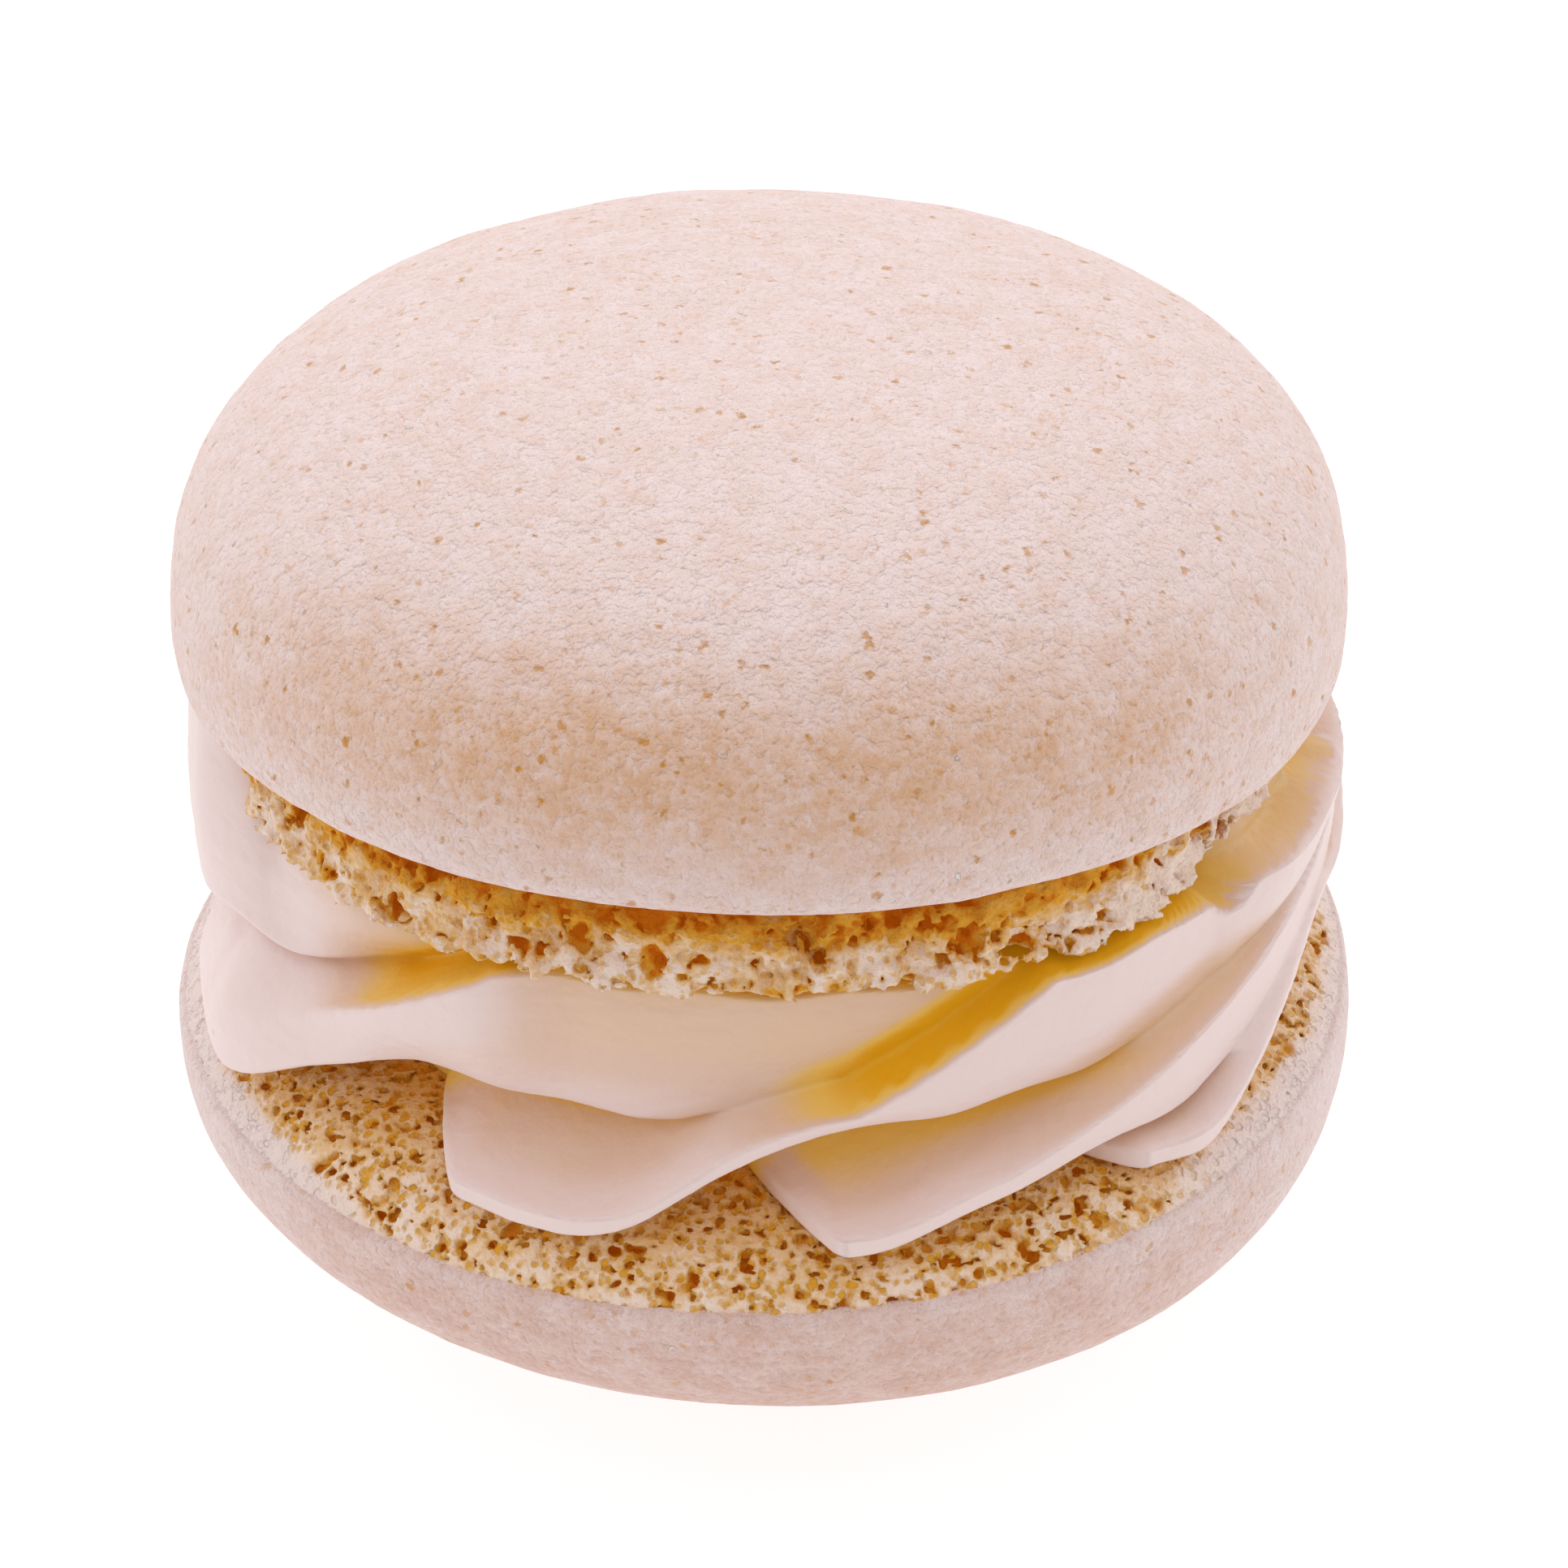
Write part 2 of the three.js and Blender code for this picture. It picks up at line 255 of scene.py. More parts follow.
def new_tree(name, numbers, objects=()):
    """An empty Geometry Nodes tree with named inputs, and its inputs as fields."""
    tree = bpy.data.node_groups.new(name, "GeometryNodeTree")
    tree.interface.new_socket("Geometry", in_out="INPUT", socket_type="NodeSocketGeometry")
    for number, value in numbers.items():
        socket = tree.interface.new_socket(number, in_out="INPUT", socket_type="NodeSocketFloat")
        socket.default_value = value
    for thing in objects:
        tree.interface.new_socket(thing, in_out="INPUT", socket_type="NodeSocketObject")
    tree.interface.new_socket("Material", in_out="INPUT", socket_type="NodeSocketMaterial")
    tree.interface.new_socket("Geometry", in_out="OUTPUT", socket_type="NodeSocketGeometry")
    given = put(tree, "NodeGroupInput").outputs
    return tree, {socket.name: Field(tree, socket) for socket in given if socket.name}


def place_in_mm(tree):
    """Where each point is, in millimetres."""
    place = Field(tree, put(tree, "GeometryNodeInputPosition").outputs[0])
    return place.vector("MULTIPLY", (1 / MM, 1 / MM, 1 / MM))


def stored(tree, geometry, name, value):
    """Stores a number on each point, for the material to read."""
    inputs = {"Geometry": geometry, "Name": name, "Value": value}
    return put(tree, "GeometryNodeStoreNamedAttribute", inputs, data_type="FLOAT", domain="POINT").outputs[0]


def finished(tree, geometry, material):
    """Ends a tree: its instances made real and its material set."""
    real = put(tree, "GeometryNodeRealizeInstances", {0: geometry}).outputs[0]
    painted = put(tree, "GeometryNodeSetMaterial", {"Geometry": real, "Material": material}).outputs[0]
    put(tree, "NodeGroupOutput", {0: painted})
    return tree


def grown(piece, tree, **values):
    """Runs a tree on a piece with its named inputs, and keeps the result as a plain mesh."""
    modifier = piece.modifiers.new("grow", "NODES")
    modifier.node_group = tree
    for item in tree.interface.items_tree:
        key = item.name.replace(" ", "_").lower()
        if item.in_out == "INPUT" and key in values:
            modifier[item.identifier] = values[key]
    seen = piece.evaluated_get(bpy.context.evaluated_depsgraph_get())
    mesh = bpy.data.meshes.new_from_object(seen)
    piece.modifiers.clear()
    piece.data = mesh
    mesh.name = piece.name
    mesh.materials.clear()
    mesh.materials.append(values["material"])
    mesh.polygons.foreach_set("use_smooth", [True] * len(mesh.polygons))


def wrinkle_tree():
    """Swells, wrinkles and grains a skin along its normals."""
    tree, given = new_tree("wrinkled_skin", {"Swell": 0.1, "Wrinkle": 0.04, "Grain": 0.015, "Seed": 0.0})
    place = place_in_mm(tree)
    seed = given["Seed"]
    height = (place.noise(7, 1, 1, seed) + place.noise(2.4, 0.35, 1, seed)) * given["Swell"]
    height = height + place.streaks(2.2, 0.6, 1, 2, seed) * given["Wrinkle"]
    height = height + place.noise(0.5, 1, 2, seed) * given["Grain"]
    normal = put(tree, "GeometryNodeInputNormal").outputs[0]
    offset = put(tree, "ShaderNodeVectorMath", {0: normal, "Scale": height * MM}, operation="SCALE")
    skin = {"Geometry": given["Geometry"], "Offset": offset.outputs[0]}
    return finished(tree, put(tree, "GeometryNodeSetPosition", skin).outputs[0], given["Material"])


# The share closed off is painted into the crumb and the cream as shade.
SHELTER_RAYS = 40
SHELTER_REACH = 6.0


def shelter_tree():
    """Stores how much of the space over each point is closed off by the macaron itself."""
    tree, given = new_tree("sheltered_skin", {"Lift": 0.1}, ["Neighbours"])
    neighbours = put(tree, "GeometryNodeObjectInfo", {"Object": given["Neighbours"]}).outputs["Geometry"]
    joined = put(tree, "GeometryNodeJoinGeometry")
    tree.links.new(neighbours, joined.inputs[0])
    tree.links.new(given["Geometry"].socket, joined.inputs[0])
    normal = Field(tree, put(tree, "GeometryNodeInputNormal").outputs[0])
    lifted = put(tree, "ShaderNodeVectorMath", {0: normal, "Scale": given["Lift"] * MM}, operation="SCALE")
    place = Field(tree, put(tree, "GeometryNodeInputPosition").outputs[0])
    start = place.vector("ADD", lifted.outputs[0])
    closed, whole = None, None
    for ray in range(SHELTER_RAYS):
        height = 1 - (2 * ray + 1) / SHELTER_RAYS
        turn = ray * math.pi * (3 - math.sqrt(5))
        out = math.sqrt(1 - height * height)
        toward = (out * math.cos(turn), out * math.sin(turn), height)
        weight = normal.vector("DOT_PRODUCT", toward, "Value").most(0.0)
        cast = put(tree, "GeometryNodeRaycast", {
            "Target Geometry": joined.outputs[0], "Source Position": start,
            "Ray Direction": toward, "Ray Length": SHELTER_REACH * MM})
        hit = weight * Field(tree, cast.outputs["Is Hit"])
        closed = hit if closed is None else closed + hit
        whole = weight if whole is None else whole + weight
    share = closed.maths("DIVIDE", whole.most(0.01))
    eased = put(tree, "GeometryNodeBlurAttribute", {"Value": share, "Iterations": 4}, data_type="FLOAT")
    skin = stored(tree, given["Geometry"], "shelter", eased.outputs[0])
    return finished(tree, skin, given["Material"])


def sheltered(piece, lift, *neighbours):
    """Stores on a piece how far it and the solids of its neighbours close it in."""
    joined = bmesh.new()
    for node in neighbours:
        joined.from_mesh(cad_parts[node].data)
    around = mesh_piece("around", [], [])
    joined.to_mesh(around.data)
    joined.free()
    grown(piece, SHELTERED, lift=lift, neighbours=around, material=piece.data.materials[0])
    bpy.data.objects.remove(around)


def attribute(tree, name):
    """An attribute of the mesh that a material reads."""
    return Field(tree, put(tree, "ShaderNodeAttribute", attribute_name=name).outputs["Fac"])


def mixed(tree, factor, first, second):
    """A mix of two colours, which may be sockets."""
    return put(tree, "ShaderNodeMix", {0: factor, 6: first, 7: second}, data_type="RGBA").outputs[2]


def new_paint(name, roughness, specular):
    """A material, its tree, its shader and where the shaded point is in millimetres."""
    paint = bpy.data.materials.new(name)
    paint.use_nodes = True
    shader = paint.node_tree.nodes["Principled BSDF"]
    shader.inputs["Roughness"].default_value = roughness
    shader.inputs["Specular IOR Level"].default_value = specular
    place = Field(paint.node_tree, put(paint.node_tree, "ShaderNodeTexCoord").outputs["Object"])
    return paint, paint.node_tree, shader, place.vector("MULTIPLY", (1 / MM, 1 / MM, 1 / MM))


def bumped(tree, shader, height, distance):
    """Lets a height field raise the surface by up to a distance in millimetres."""
    bump = put(tree, "ShaderNodeBump", {"Height": height, "Strength": 1.0, "Distance": distance * MM})
    tree.links.new(bump.outputs[0], shader.inputs["Normal"])


# how far apart bubbles lie, their smallest and largest radius in mm, and the share of places with one
FINE_PINHOLES = (0.42, 0.04, 0.14, 0.8)
GOLDEN_PINHOLES = (0.7, 0.04, 0.15, 0.5)
SUGAR_GRAINS = (1.7, 0.04, 0.13, 0.45)
PINHOLE_TAN = colour(220, 164, 100)
PINHOLE_GOLD = colour(208, 144, 44)
SUGAR_WHITE = colour(250, 242, 241)
CRUST_RELIEF = 0.085


def crust_paint(name, pale, tan, band, axis, dotted, seed):
    """Dry meringue skin: pale, with a tan band of painted shade across the front, mottled, with golden
    pinholes.
    """
    paint, tree, shader, place = new_paint(name, 0.85, 0.2)
    level = place.vector("DOT_PRODUCT", axis, "Value") + place.noise(3, 0.7, 2, seed)
    # painted shade: the skin turns tan in a band across its front, where less light falls
    front = (place.noise(4, 2, 1, seed) - place.part(1) - place.part(0) * 0.08).ease(8, 22)
    front_shade_band = level.ease(band[0], band[1]).least(level.ease(band[3], band[2])) * front
    blotch = place.noise(1.3, 1, 2, seed)
    streak = place.streaks(1.8, 0.5, 1, 3, seed)
    fleck = place.noise(0.3, 1, 2, seed)
    mottle = blotch * 0.5 + streak * 0.4 + fleck * 0.6
    skin = mixed(tree, (front_shade_band * 0.66 + mottle * (0.4 + 0.4 * front_shade_band) + 0.12).most(0.0), pale, tan)
    bent = place.warped(0.3, 0.22)
    clear = place.noise(1.4, 1, 1, seed + 9).ease(-0.8, 0.5) * dotted
    many = bent.bubbles(*FINE_PINHOLES, seed).ease(0.08, -0.06) * clear
    gold = bent.bubbles(*GOLDEN_PINHOLES, seed + 5).ease(0.1, -0.05) * (clear * 0.7 + dotted * 0.3)
    sugar = bent.bubbles(*SUGAR_GRAINS, seed + 11).ease(0.06, -0.05)
    chalk = place.noise(0.9, 1, 2, seed + 7).ease(0.35, 0.8)
    skin = mixed(tree, chalk * 0.55, skin, pale)
    skin = mixed(tree, many * (0.4 + 0.4 * front_shade_band), skin, PINHOLE_TAN)
    skin = mixed(tree, gold * (0.8 + 0.2 * front_shade_band), skin, PINHOLE_GOLD)
    skin = mixed(tree, sugar * 0.8, skin, SUGAR_WHITE)
    tree.links.new(skin, shader.inputs["Base Color"])
    height = streak * 0.7 + blotch * 0.5 + fleck + place.noise(0.14, 0.5, 2, seed)
    bumped(tree, shader, height - gold * 0.5 + sugar + chalk, CRUST_RELIEF)
    return paint


WRINKLED = wrinkle_tree()
SHELTERED = shelter_tree()

angles = np.arange(CRUST_COLUMNS) * 2 * math.pi / CRUST_COLUMNS
rim_round = lower_round(angles, np.cos)
rim_z = lower_edge(angles, np.cos)
fullness = LOWER_FULLNESS + 0.1 * np.sin(angles)
shown = []
for share in np.linspace(0.995, 0, 160):
    radius, height = dome(share, LOWER_RADIUS * rim_round, LOWER_WIDEST_Z, 0.0, fullness)
    worn = 0.02 * (radius / REST_SPOT_RADIUS) ** REST_SPOT_SHARPNESS
    shown.append((radius, np.minimum(height, worn)))
for share in np.linspace(0.1, 1, 10):
    bend = share * math.pi / 2
    radius = LOWER_RADIUS + (LOWER_EDGE_RADIUS - LOWER_RADIUS) * (1 - math.cos(bend))
    shown.append((radius * rim_round, LOWER_WIDEST_Z + (rim_z - LOWER_WIDEST_Z) * math.sin(bend)))
for inward, rise in ((0.2, 0.1), (0.5, 0.0), (1.2, -0.6)):
    shown.append(((LOWER_EDGE_RADIUS - inward) * rim_round, rim_z + rise))
inside = [((LOWER_EDGE_RADIUS - inward) * rim_round, rim_z - 1.5) for inward in (4.0, 10.0, 18.0)]
lower_crust = turned_piece("lower_crust", *even_rows(shown, CRUST_FACET, after=inside), angles)
LOWER_PALE = colour(240, 223, 221)
# tan of the mottling and of the band of painted shade across the front, and that band's heights
LOWER_TAN = colour(222, 188, 176)
LOWER_BAND = (1, 4, 9, 12)
LOWER_AXIS = (0, 0, 1)
lower_crust_paint = crust_paint("lower_skin", LOWER_PALE, LOWER_TAN, LOWER_BAND, LOWER_AXIS, dotted=0.6,
                                seed=3.0)
grown(lower_crust, WRINKLED, swell=0.07, wrinkle=0.03, grain=0.015, seed=3.0, material=lower_crust_paint)
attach(lower_crust, "root")
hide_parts("bottom_shell")

# ---------------------------------------------------------------------------------------------
# Lower crumb: the porous inner face of the lower shell, broken open where it left the baking mat.
# It is grown as a volume: a gently raised face with bubbles of three sizes taken out of it.
# ---------------------------------------------------------------------------------------------
LOWER_FACE_Z = 12.6
FACE_SHARPNESS = 11
CRUMB_INNER_RADIUS = 15.5
# part of the ring: which way along X and Y it lies (0 is both ways), its voxels' size and shrinkage in mm
CRUMB_PARTS = {
    "front_left": ((-1, -1), 0.12, 0.0),
    "front_right": ((1, -1), 0.12, 0.005),
    "back": ((0, 1), 0.18, 0.01),
}
CRUMB_OVERLAP = 0.3
CRUMB_THINNING = 0.1
SMALLEST_ISLAND = 2000
LOWER_BUBBLES = ((0.47, 0.13, 0.24, 0.95, 1.0), (0.95, 0.12, 0.34, 0.7, 2.0), (2.1, 0.25, 0.5, 0.4, 3.0))
LOWER_TORN = 0.12
LOWER_CRUMB_SPAN = (8.6, 13.2)
SHELTER_LIFT = 0.12


def hollowed(place, sizes, torn):
    """The nearest bubble wall of several sizes of bubble, bent out of round and torn by some mm."""
    bent = place.warped(1.0, 0.3).warped(0.45, torn)
    walls = [bent.bubbles(*size) for size in sizes]
    nearest = walls[0]
    for wall in walls[1:]:
        nearest = nearest.least(wall)
    return nearest


def meshed_part(tree, density, part, reach, low_z, high_z):
    """The surface of one part of a ring, where a density field crosses zero."""
    sides, voxel, shrunk = CRUMB_PARTS[part]
    low, high = [-reach, -reach, low_z], [reach, reach, high_z]
    for axis, side in enumerate(sides):
        if side:
            density = density.least(place_in_mm(tree).part(axis) * side + CRUMB_OVERLAP)
            (low if side > 0 else high)[axis] = -side * (CRUMB_OVERLAP + voxel)
    counts = [round((b - a) / voxel) for a, b in zip(low, high)]
    corners = {"Min": tuple(a * MM for a in low), "Max": tuple(b * MM for b in high)}
    steps = {f"Resolution {axis}": count for axis, count in zip("XYZ", counts)}
    body = {"Density": density - shrunk, "Background": -1.0}
    volume = put(tree, "GeometryNodeVolumeCube", {**body, **corners, **steps})
    surface = {"Volume": volume.outputs[0], "Threshold": 0.0, "Adaptivity": CRUMB_THINNING}
    skin = put(tree, "GeometryNodeVolumeToMesh", surface).outputs[0]
    island = put(tree, "GeometryNodeInputMeshIsland").outputs[0]
    count = put(tree, "GeometryNodeAccumulateField", {"Value": 1.0, "Group ID": island})
    loose = Field(tree, count.outputs["Total"]).maths("LESS_THAN", SMALLEST_ISLAND)
    return put(tree, "GeometryNodeDeleteGeometry", {"Geometry": skin, "Selection": loose}).outputs[0]


# colours of the crumb, from its pale walls to the painted shade in its hollows and pits, and of its painted
# glow
CRUMB_PALE = colour(246, 225, 210)
CRUMB_TAN = colour(238, 198, 146)
CRUMB_GOLDEN = colour(228, 166, 54)
CRUMB_BROWN = colour(196, 112, 16)
CRUMB_PAINTED_GLOW = colour(210, 110, 12)


def crumb_colour(tree, warmth_and_shade):
    """Colour of broken crumb: pale walls, then tan, then golden hollows, then brown pits, as warmth and
    painted shade grow.
    """
    tan = mixed(tree, warmth_and_shade.ease(0.0, 0.35), CRUMB_PALE, CRUMB_TAN)
    golden = mixed(tree, warmth_and_shade.ease(0.3, 0.85), tan, CRUMB_GOLDEN)
    return mixed(tree, warmth_and_shade.ease(0.85, 1.55), golden, CRUMB_BROWN)


def smooth_rim(place, out):
    """Where the shell's rim baked smooth: its outer part, to the left and right."""
    uneven = place.noise(1.2, 0.4, 1, 8.0)
    on_left = (out + uneven).ease(22.2, 22.9) * place.part(0).ease(-14, -18)
    return on_left.most((out + uneven).ease(21.9, 22.8) * place.part(0).ease(13.5, 18))


def lower_crumb_tree(part):
    """The porous face as part of a ring of open crumb round the cream."""
    tree, given = new_tree("porous_face_" + part, {"Depth": 1.3, "Relief": 0.12})
    place = place_in_mm(tree)
    out = place.off_axis()
    angle = place.part(0).maths("ARCTAN2", place.part(1) * -1.0)
    rim = LOWER_EDGE_RADIUS * lower_round(angle, Field.cos) - 0.12
    edge = lower_edge(angle, Field.cos)
    share = out.maths("DIVIDE", rim).least(1.0)
    face = edge + (LOWER_FACE_Z - edge) * (1.0 - share.maths("POWER", FACE_SHARPNESS))
    relief = (place.noise(2.2, 1, 1, 2.0) + place.noise(0.8, 0.8, 2, 4.0)) * given["Relief"]
    below = face + relief - place.part(2)
    body = below.least(rim - out).least(given["Depth"] - below).least(out - CRUMB_INNER_RADIUS)
    baked = smooth_rim(place, out)
    holes = hollowed(place, LOWER_BUBBLES, LOWER_TORN).most(below - given["Depth"] + 0.25) + baked * 0.5
    mesh = meshed_part(tree, body.least(holes), part, LOWER_EDGE_RADIUS * 1.02, *LOWER_CRUMB_SPAN)
    # the depth below the face is stored for the material to paint as shade
    return finished(tree, stored(tree, mesh, "depth", below.most(0.0)), given["Material"])


FINE_PORES = (0.36, 0.08, 0.18, 0.95)
WIDE_PORES = (0.9, 0.06, 0.3, 0.55)
PORE_RELIEF = 0.06


def crumb_paint(name, depth_shade, shelter_shade, pore_warmth, patches, start, seed):
    """Broken crumb, pale on its walls, with painted shade warmer and browner down its pores and hollows and
    where it is closed in, and a painted golden glow where that shade is deepest.
    """
    paint, tree, shader, place = new_paint(name, 0.8, 0.1)
    bent = place.warped(0.5, 0.16)
    fine = bent.bubbles(*FINE_PORES, seed + 5).ease(0.09, -0.08)
    pores = bent.bubbles(*WIDE_PORES, seed + 9).ease(0.08, -0.14)
    patch = place.noise(1.5, patches, 2, seed + 3) + place.noise(0.25, 0.18, 2, seed)
    baked = smooth_rim(place, place.off_axis())
    # painted shade: deeper below the face, closed in by the macaron, and in the painted pores
    warmth_and_shade = attribute(tree, "depth") * depth_shade + attribute(tree, "shelter") * shelter_shade + patch
    calm = baked.most(place.part(0).ease(6, 16) * 0.45)
    warmth_and_shade = warmth_and_shade + (fine * 0.65 + pores * 0.6) * pore_warmth * (1 - 0.8 * calm) + start - baked * 0.4
    skin = mixed(tree, baked * 0.8, crumb_colour(tree, warmth_and_shade), LOWER_PALE)
    tree.links.new(skin, shader.inputs["Base Color"])
    # painted golden glow where the painted shade is deepest
    tree.links.new((warmth_and_shade.ease(0.7, 1.6) * 0.16).socket, shader.inputs["Emission Strength"])
    shader.inputs["Emission Color"].default_value = CRUMB_PAINTED_GLOW
    height = place.noise(0.15, 0.8, 2, seed) - (fine * 1.5 + pores * 2) * pore_warmth
    bumped(tree, shader, height, PORE_RELIEF)
    return paint


lower_crumb_paint = crumb_paint("porous_crumb", depth_shade=1.3, shelter_shade=0.5, pore_warmth=1.0,
                                patches=0.25, start=0.08, seed=7.0)
for part in CRUMB_PARTS:
    lower_crumb = mesh_piece("lower_crumb_" + part, [(0, 0, LOWER_FACE_Z)], [])
    grown(lower_crumb, lower_crumb_tree(part), depth=1.3, relief=0.12, material=lower_crumb_paint)
    sheltered(lower_crumb, SHELTER_LIFT, "cream_filling", "top_shell")
    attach(lower_crumb, "root")
    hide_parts("bottom_shell")

# ---------------------------------------------------------------------------------------------
# Cream: pale pink buttercream piped through a star nozzle, in eight fins that turn as they climb.
# Each fin is a tongue with a thin lip that lies over the lower crumb, then climbs to the upper foot.
# ---------------------------------------------------------------------------------------------
# tip: angle where the fin reaches furthest out over the lower shell; reach: its radius there
# lead: degrees from the fin's corner to its tip; edge: degrees over which its end runs out
# lift: degrees past the tip where the upper lip leaves the tongue; climb: its rise in mm a degree
# rise: how far the lower lip rises past the tip; late: degrees past the tip where it rises again
# waist: radius of the lower lip; fade: degrees past the tip where it starts to sink
# crest: radius of the upper lip; torn: degrees past the tip where it is torn; tuck: its radius after that
# body: 0 for a thin tongue with a flat top, 1 for a round lobe; bulge: how far its face bulges
FIN_MEASURES = ("tip", "reach", "lead", "edge", "lift", "climb", "rise", "late", "waist", "fade",
                "crest", "torn", "tuck", "body", "bulge")
FINS = [dict(zip(FIN_MEASURES, fin)) for fin in (
    (-140, 22.6, 10, 14, 8, 0.24, 3.3, 57, 22.2, 65, 21.8, 65, 19.8, 1, 0.35),
    (-66, 23.2, 14, 12, -3, 0.22, 3.8, 56, 19.4, 85, 21.2, 34, 19.8, 1, 0),
    (-20, 22.2, 13, 14, 6, 0.2, 4.3, 72, 20.7, 100, 21.4, 68, 22.5, 0, 0),
    (6, 22.6, 1, 9, 6, 0.115, 1.7, 40, 22.0, 85, 22.3, 80, 22.3, 0, 0),
    (44, 23.0, 7, 8, 12, 0.17, 4.6, 60, 22.2, 80, 22.6, 70, 22.3, 0, 0),
    (110, 22.6, 8, 12, 8, 0.2, 2.0, 55, 21.3, 70, 22.4, 55, 21.3, 0, 0),
    (148, 22.4, 12, 14, 10, 0.18, 2.0, 55, 20.8, 70, 22.2, 55, 21.3, 0, 0),
    (186, 22.4, 10, 12, 8, 0.22, 2.0, 50, 20.8, 60, 22.2, 50, 21.3, 0, 0),
)]
# how golden the painted shade is in the fold over each fin's tongue and over its crest
FOLD_SHADE_GOLD = ((0.3, 0.8), (0, 1.0), (0.36, 1.3), (0.6, 0.5), (0.4, 0.6), (0.4, 0.8), (0.4, 0.8), (0.4, 0.8))
FIN_SINKS_OVER = 60
TIP_SLIMS_OVER = 19
LIP_RAISED_OVER = 28
TORN_OVER = 12
NOTCH_DEPTH = 0.8
NOTCH_WIDTH = 1.5
# a torn lip has its notch in front only, and none past these angles to the sides
NOTCH_SIDES = (60, 80, 200)
LATE_CLIMB = 0.1
LIP = 0.8
LIP_WAVE = 0.1
UNDERCUT = 0.7
# how far the lips stay below the upper shell, except to the sides between these angles
CREST_DROP = 0.7
CREST_SIDES = (30, 65, 200)
TONGUE_Z = 12.3
CREAM_CORE_RADIUS = 16.6
CREAM_FLOOR_Z = 12.5
CREAM_CEILING_Z = 21.35
SQUEEZED_RIGHT = 1.3
SQUEEZED_LEFT = 3.3
BELLY_RADIUS = 20.3
CREAM_COLUMNS = 660
CREAM_ROWS = 140
CREAM_TWIST = 40
LEAN_BACK = math.radians(4.5)
LEAN_SIDE = math.radians(2.0)


def lerp(low, high, share):
    return low + (high - low) * share


def smooth(value, start, end):
    share = np.clip((value - start) / (end - start), 0, 1)
    return share * share * (3 - 2 * share)


def to_side(angle, inner, outer, far):
    """How far an angle is to the right: 0 to 1 between two angles, and back to 0 at a far one."""
    turn = (angle + 180) % 360 - 180
    return smooth(turn, inner, outer) * (1 - smooth(turn, far, far + 30))


def level_ceiling(angle, radius):
    """The cream's top where it lies against the upper shell's flat face, which leans."""
    front = radius * np.cos(np.radians(angle)) * math.tan(LEAN_BACK)
    return CREAM_CEILING_Z + front - radius * np.sin(np.radians(angle)) * math.tan(LEAN_SIDE)


def cream_ceiling(angle, radius):
    """The cream's top, squeezed up beside the foot on the left and under its thin part on the right."""
    squeezed = SQUEEZED_RIGHT * to_side(angle, 38, 62, 110)
    squeezed = squeezed + SQUEEZED_LEFT * to_side(-angle, 58, 72, 120) * smooth(radius, 19.8, 21.2)
    return level_ceiling(angle, radius) + squeezed


def fin_lips(angle, tip, reach, lead, edge, lift, climb, rise, late, waist, fade, crest, torn, tuck, body,
             bulge):
    """Radius and height of a fin's lower and upper lip at an angle, and how far it is raised."""
    start = lead + edge
    past = (angle - tip + start) % 360 - start
    core = CREAM_CORE_RADIUS
    corner = lerp(core, reach - 0.5, np.clip((past + start) / edge, 0, 1))
    tongue = lerp(corner, reach, smooth(past, -lead, 0))
    slim = np.exp(-((np.maximum(past, 0) / TIP_SLIMS_OVER) ** 2))
    raised = smooth(past, lift, lift + LIP_RAISED_OVER)
    low_radius = lerp(lerp(waist, tongue, slim), core, smooth(past, fade, fade + 50))
    sunk = smooth(past, fade + 25, fade + FIN_SINKS_OVER)
    tucked = lerp(crest, tuck, smooth(past, torn, torn + TORN_OVER))
    high_radius = lerp(lerp(low_radius, tucked, raised), core, sunk)
    drop = CREST_DROP * (1 - to_side(angle, *CREST_SIDES) - to_side(-angle, *CREST_SIDES))
    behind = to_side(angle, *NOTCH_SIDES) + to_side(-angle, *NOTCH_SIDES)
    notch = (1 - behind) * (1 - body) * NOTCH_DEPTH * np.exp(-(((past - torn - 4) / NOTCH_WIDTH) ** 2))
    uneven = LIP_WAVE * np.sin(np.radians(23 * angle + 7 * tip))
    top = level_ceiling(angle, core) - drop - notch + uneven
    climbed = rise * smooth(past, -2, 26) + LATE_CLIMB * np.maximum(past - late, 0) + uneven
    low_z = np.minimum(TONGUE_Z + climbed, top - LIP)
    high_z = np.clip(TONGUE_Z + LIP + climb * np.maximum(past - lift, 0), low_z + LIP, top)
    lobe = body * smooth(past, -start, 8 - start)
    ended = past > fade + FIN_SINKS_OVER
    return lobe, bulge * raised * (1 - sunk), low_radius, low_z, high_radius, high_z, raised, ended


def fin_radius(z, lobe, bulge, low_radius, low_z, high_radius, high_z, raised, ended):
    """How far a fin stands out at a height: undercut, face, then the hollow over its upper lip."""
    core = CREAM_CORE_RADIUS
    under = lerp(core, low_radius, smooth(z, low_z - UNDERCUT, low_z))
    up_face = np.clip((z - low_z) / (high_z - low_z), 0, 1)
    face = lerp(low_radius, high_radius, 1 - (1 - up_face) ** lerp(1, 2.4, raised))
    face = face + bulge * np.sin(math.pi * up_face)
    shoulder = np.clip((z - high_z) / lerp(lerp(2.4, 6, lobe), 0.9, raised), 0, 1)
    over = lerp(high_radius, core, shoulder ** lerp(lerp(0.5, 1.6, lobe), 0.75, raised))
    radius = np.where(z < low_z, under, np.where(z < high_z, face, over))
    return np.where(ended, core, radius)


def cream_radius(angle, z):
    """The furthest fin at each angle and height, eased over its neighbourhood."""
    spread = ((0, 0), (0.5, 0.06), (0.5, -0.06), (-0.5, 0.06), (-0.5, -0.06))
    samples = []
    for turn, rise in spread:
        fins = [fin_radius(z + rise, *fin_lips(angle + turn, **fin)) for fin in FINS]
        samples.append(np.max(fins, axis=0))
    belly = lerp(CREAM_CORE_RADIUS, BELLY_RADIUS, to_side(angle, 40, 60, 110) * smooth(z, 20.6, 21.6))
    return np.maximum(np.mean(samples, axis=0), belly)


